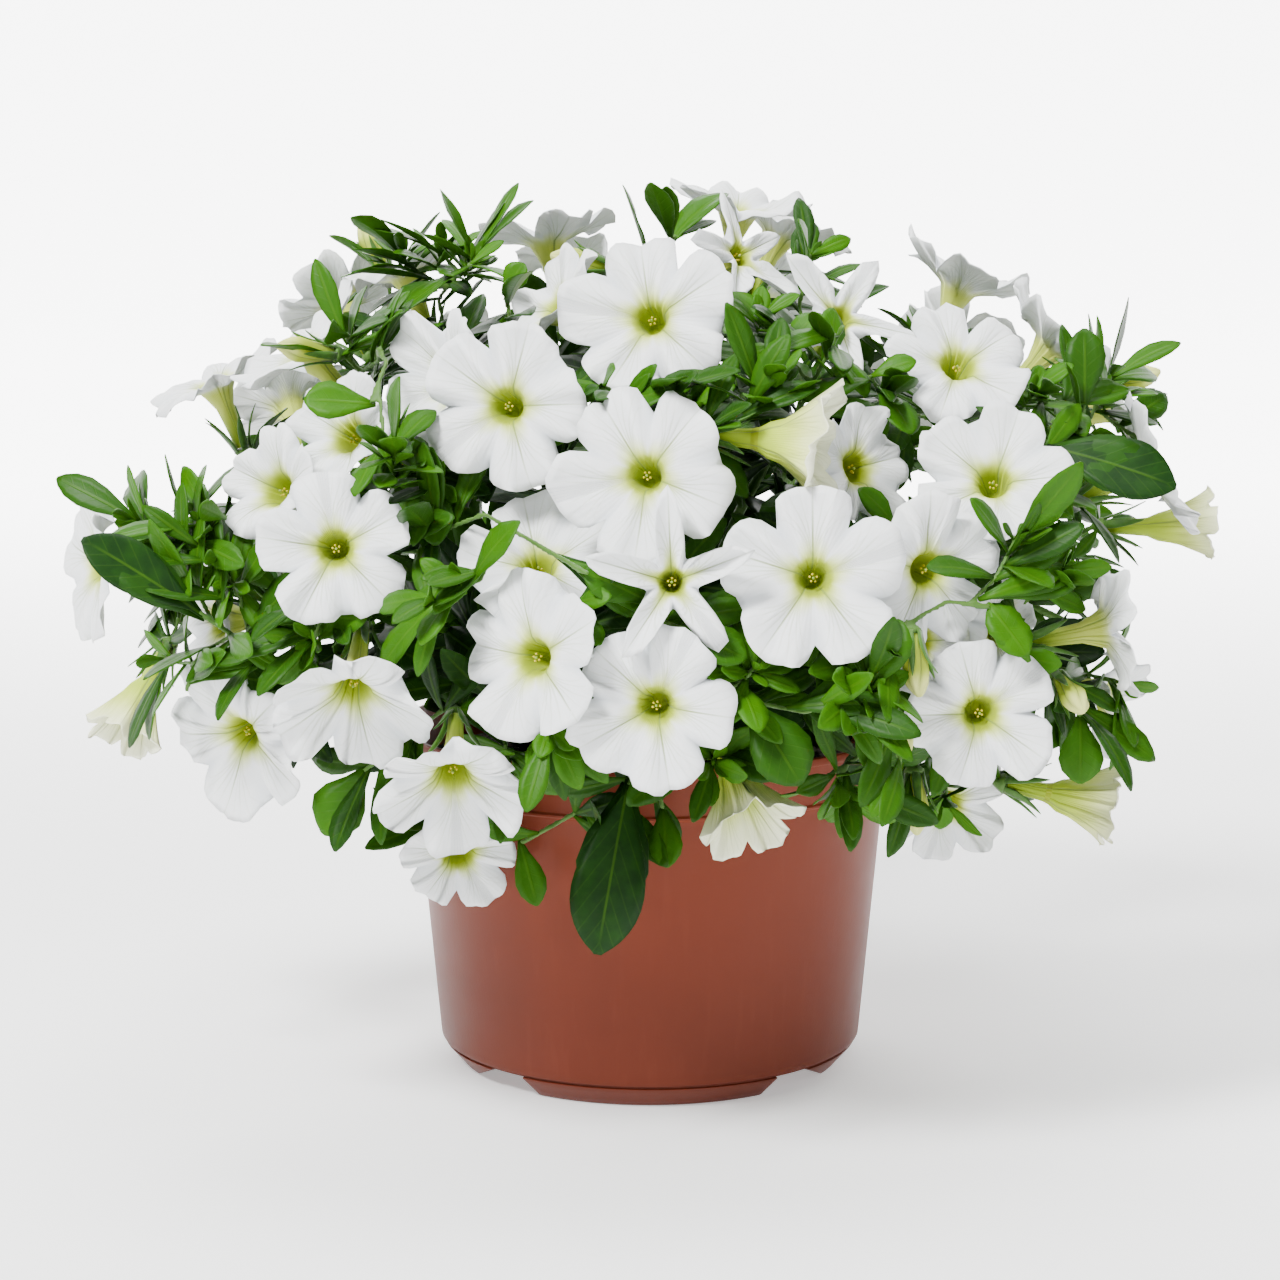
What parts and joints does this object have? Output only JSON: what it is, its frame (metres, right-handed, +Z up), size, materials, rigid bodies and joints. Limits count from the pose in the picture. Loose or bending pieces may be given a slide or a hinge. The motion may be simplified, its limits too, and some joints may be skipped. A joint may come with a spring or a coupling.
{
  "type": "potted calibrachoa",
  "caption": "Bushy calibrachoa with white trumpet-shaped flowers and small oval leaves, growing in a round plastic nursery pot with feet.",
  "frame": {"origin": "middle of the pot's foot plane, under the plant", "axes": "+Z up along the pot's axis, -Y towards the front of the plant, +X to its right"},
  "size_m": [0.2697, 0.259, 0.2097],
  "materials": {
    "pot": "terracotta-brown injection-moulded plastic, satin",
    "soil": "dark crumbly peat",
    "petal": "soft matt white petal with olive veins and a yellow throat",
    "foliage": "fresh green leaves and hairy stems, slightly glossy"
  },
  "bodies": {
    "root": {"pot": "pot", "soil": "soil", "bloom_01": "petal", "bloom_02": "petal", "bloom_03": "petal", "bloom_04": "petal", "bloom_05": "petal", "bloom_06": "petal", "bloom_07": "petal", "bloom_08": "petal", "bloom_09": "petal", "bloom_10": "petal", "bloom_11": "petal", "bloom_12": "petal", "bloom_13": "petal", "bloom_14": "petal", "bloom_15": "petal", "bloom_16": "petal", "bloom_17": "petal", "bloom_18": "petal", "bloom_19": "petal", "bloom_20": "petal", "bloom_21": "petal", "bloom_22": "petal", "bloom_23": "petal", "bloom_24": "petal", "bloom_25": "petal", "bloom_26": "petal", "bloom_27": "petal", "bloom_28": "petal", "bloom_29": "petal", "bloom_30": "petal", "bloom_31": "petal", "bloom_32": "petal", "bloom_33": "petal", "bloom_34": "petal", "bloom_35": "petal", "bloom_36": "petal", "bloom_37": "petal", "bloom_38": "petal", "bloom_39": "petal", "bloom_40": "petal", "bloom_41": "petal", "bloom_42": "petal", "bloom_43": "petal", "bloom_44": "petal", "bloom_45": "petal", "bloom_46": "petal", "stem_01": "foliage", "stem_02": "foliage", "stem_03": "foliage", "stem_04": "foliage", "stem_05": "foliage", "stem_06": "foliage", "stem_07": "foliage", "stem_08": "foliage", "stem_09": "foliage", "stem_10": "foliage", "stem_11": "foliage", "stem_12": "foliage"}
  },
  "joints": []
}
